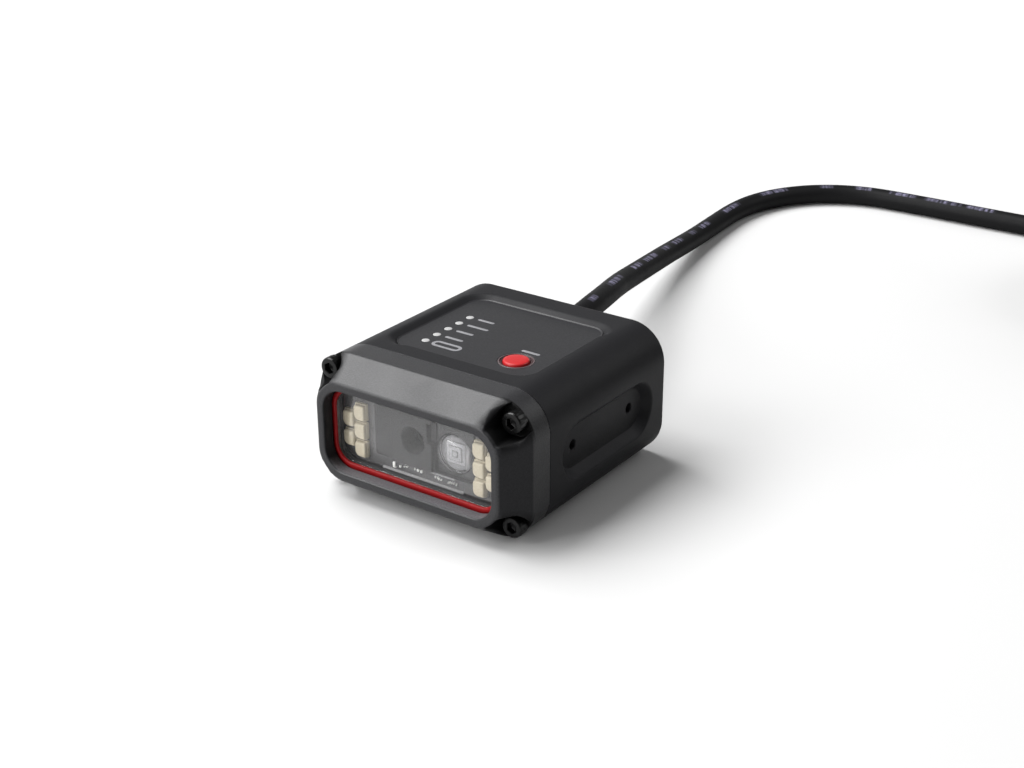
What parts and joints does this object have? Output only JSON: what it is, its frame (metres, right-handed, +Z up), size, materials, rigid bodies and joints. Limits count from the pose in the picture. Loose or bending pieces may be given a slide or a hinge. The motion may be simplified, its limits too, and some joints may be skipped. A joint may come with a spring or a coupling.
{
  "type": "fixed barcode reader",
  "caption": "Compact fixed-mount barcode reader: black box with a tapered window bezel, optics behind glass, indicator panel with a red push button, and a cable with a round screw connector.",
  "frame": {"origin": "middle of the underside of the body to 0.3 mm, cable left out", "axes": "+Z up, the window looks along -Y, +X to the right of someone who looks at the back of the window along +Y"},
  "size_m": [0.1988, 0.2912, 0.0366],
  "materials": {
    "housing_paint": "matte black powder coat",
    "bezel_paint": "fine grey-black powder coat",
    "panel_film": "satin charcoal film",
    "red_rubber": "red silicone",
    "black_rubber": "black rubber",
    "clear_window": "clear coated glass",
    "clear_lens": "clear moulded lens",
    "coated_lens": "coated optical glass",
    "black_steel": "black oxide",
    "white_light_pipe": "diffusing white",
    "red_button": "satin red",
    "black_plastic": "moulded black",
    "grey_plastic": "moulded grey",
    "pale_plastic": "moulded cream",
    "led_cream": "LED encapsulant",
    "circuit_board": "solder mask",
    "dark_board": "dark solder mask",
    "bare_steel": "plain steel",
    "brass_hex": "turned brass",
    "nickel": "nickel plate",
    "flex_film": "flexible film",
    "pad": "silicone pad",
    "cable_jacket": "matte black jacket",
    "tie_strap": "woven strap"
  },
  "bodies": {
    "reader": {"main_housing": "housing_paint", "front_bezel": "bezel_paint", "housing_seal": "black_rubber", "window_gasket": "red_rubber", "window_glass": "clear_window", "front_screws": "black_steel", "top_panel": "panel_film", "light_pipe": "white_light_pipe", "button_seal": "black_rubber", "switch_body": "black_plastic", "indicator_board": "circuit_board", "indicator_leds": "led_cream", "indicator_screws": "bare_steel", "led_board": "dark_board", "illumination_leds": "led_cream", "optics_shroud": "grey_plastic", "lens_barrel": "black_plastic", "front_lens": "coated_lens", "rear_lens": "coated_lens", "lens_holder": "black_plastic", "image_sensor": "dark_board", "sensor_board": "circuit_board", "engine_bracket": "bare_steel", "aimer_lens": "clear_lens", "aimer_holder": "black_plastic", "aimer_led": "led_cream", "board_connector": "black_plastic", "main_board": "circuit_board", "board_standoffs": "brass_hex", "board_screws": "bare_steel", "processor": "black_plastic", "memory_chip": "black_plastic", "power_inductor": "grey_plastic", "capacitors": "bare_steel", "heat_pad": "pad", "buzzer": "black_plastic", "io_board": "circuit_board", "io_connector": "black_plastic", "cable_header": "pale_plastic", "inner_plug": "pale_plastic", "led_flex": "flex_film", "ribbon_cable": "flex_film", "cable_boot": "black_rubber", "boot_seal": "black_rubber", "cable": "cable_jacket", "cable_coil": "cable_jacket", "cable_tail": "cable_jacket", "coil_tie": "tie_strap", "connector_body": "black_rubber", "connector_insert": "black_plastic"},
    "button": {"button_cap": "red_button", "switch_plunger": "pale_plastic"},
    "nut": {"coupling_nut": "nickel"}
  },
  "joints": [
    {"name": "button_press", "type": "slide", "parent": "reader", "child": "button", "axis": [0, 0, -1], "range_m": [0, 0.0004], "stiffness_N_per_m": 2000, "springref_m": -0.0002},
    {"name": "nut_turn", "type": "hinge", "parent": "reader", "child": "nut", "pos_m": [0.11638, 0.17366, 0.029], "axis": [-0.5, -0.866, 0], "continuous": true}
  ]
}
